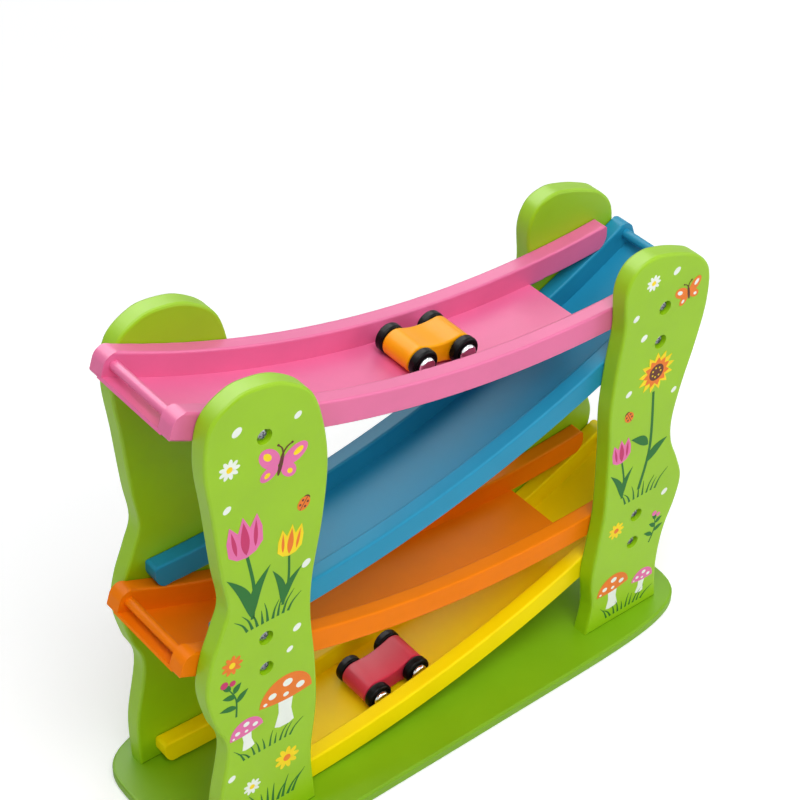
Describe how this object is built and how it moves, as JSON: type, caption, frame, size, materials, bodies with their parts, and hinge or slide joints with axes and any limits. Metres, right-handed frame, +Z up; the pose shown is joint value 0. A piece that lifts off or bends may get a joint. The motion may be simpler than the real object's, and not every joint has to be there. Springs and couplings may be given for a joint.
{
  "type": "click clack track toy",
  "caption": "Wooden ramp toy: curved tracks zigzag down between wavy side panels on a base board, and small cars roll and drop from each track to the next.",
  "frame": {"origin": "middle of the underside of the base board", "axes": "+X along the toy from the tall panels to the short panels, +Y from front to back, +Z up"},
  "size_m": [0.395, 0.133, 0.3402],
  "materials": {
    "green_wood": "satin paint",
    "green_base": "satin paint",
    "pink_wood": "satin paint",
    "blue_wood": "satin paint",
    "orange_wood": "satin paint",
    "yellow_wood": "satin paint",
    "car_orange": "satin paint",
    "car_red": "satin paint",
    "wheel_black": "satin paint",
    "steel": "zinc plated",
    "cap_chrome": "polished"
  },
  "bodies": {
    "stand": {"base": "green_base", "panel_left_front": "green_wood", "panel_left_back": "green_wood", "panel_right_front": "green_wood", "panel_right_back": "green_wood", "top_track_front_rail": "pink_wood", "top_track_back_rail": "pink_wood", "top_track_floor": "pink_wood", "top_track_dowel": "pink_wood", "upper_track_front_rail": "blue_wood", "upper_track_back_rail": "blue_wood", "upper_track_floor": "blue_wood", "upper_track_dowel": "blue_wood", "lower_track_front_rail": "orange_wood", "lower_track_back_rail": "orange_wood", "lower_track_floor": "orange_wood", "lower_track_dowel": "orange_wood", "bottom_track_front_rail": "yellow_wood", "bottom_track_back_rail": "yellow_wood", "bottom_track_floor": "yellow_wood", "bottom_track_dowel": "yellow_wood", "screws_left_front": "steel", "screws_left_back": "steel", "screws_right_front": "steel", "screws_right_back": "steel", "base_screws": "steel"},
    "car_1": {"car_1_body": "car_orange"},
    "car_1_front_wheels": {"car_1_front_axle": "steel", "car_1_front_left_wheel": "wheel_black", "car_1_front_right_wheel": "wheel_black", "car_1_front_caps": "cap_chrome"},
    "car_1_rear_wheels": {"car_1_rear_axle": "steel", "car_1_rear_left_wheel": "wheel_black", "car_1_rear_right_wheel": "wheel_black", "car_1_rear_caps": "cap_chrome"},
    "car_2": {"car_2_body": "car_red"},
    "car_2_front_wheels": {"car_2_front_axle": "steel", "car_2_front_left_wheel": "wheel_black", "car_2_front_right_wheel": "wheel_black", "car_2_front_caps": "cap_chrome"},
    "car_2_rear_wheels": {"car_2_rear_axle": "steel", "car_2_rear_left_wheel": "wheel_black", "car_2_rear_right_wheel": "wheel_black", "car_2_rear_caps": "cap_chrome"}
  },
  "joints": [
    {"name": "car_1_roll", "type": "hinge", "parent": "stand", "child": "car_1", "pos_m": [0.10313, 0, 0.92404], "axis": [0, -1, 0], "range_deg": [-14.73, 7.58]},
    {"name": "car_1_front_axle_spin", "type": "hinge", "parent": "car_1", "child": "car_1_front_wheels", "pos_m": [0.01747, 0, 0.26685], "axis": [0, 1, 0], "continuous": true},
    {"name": "car_1_rear_axle_spin", "type": "hinge", "parent": "car_1", "child": "car_1_rear_wheels", "pos_m": [-0.01267, 0, 0.27148], "axis": [0, 1, 0], "continuous": true},
    {"name": "car_2_roll", "type": "hinge", "parent": "stand", "child": "car_2", "pos_m": [-0.12094, 0, 0.6826], "axis": [0, 1, 0], "range_deg": [-16.72, 5.72]},
    {"name": "car_2_front_axle_spin", "type": "hinge", "parent": "car_2", "child": "car_2_front_wheels", "pos_m": [-0.03907, 0, 0.02493], "axis": [0, -1, 0], "continuous": true},
    {"name": "car_2_rear_axle_spin", "type": "hinge", "parent": "car_2", "child": "car_2_rear_wheels", "pos_m": [-0.00889, 0, 0.02939], "axis": [0, -1, 0], "continuous": true}
  ]
}
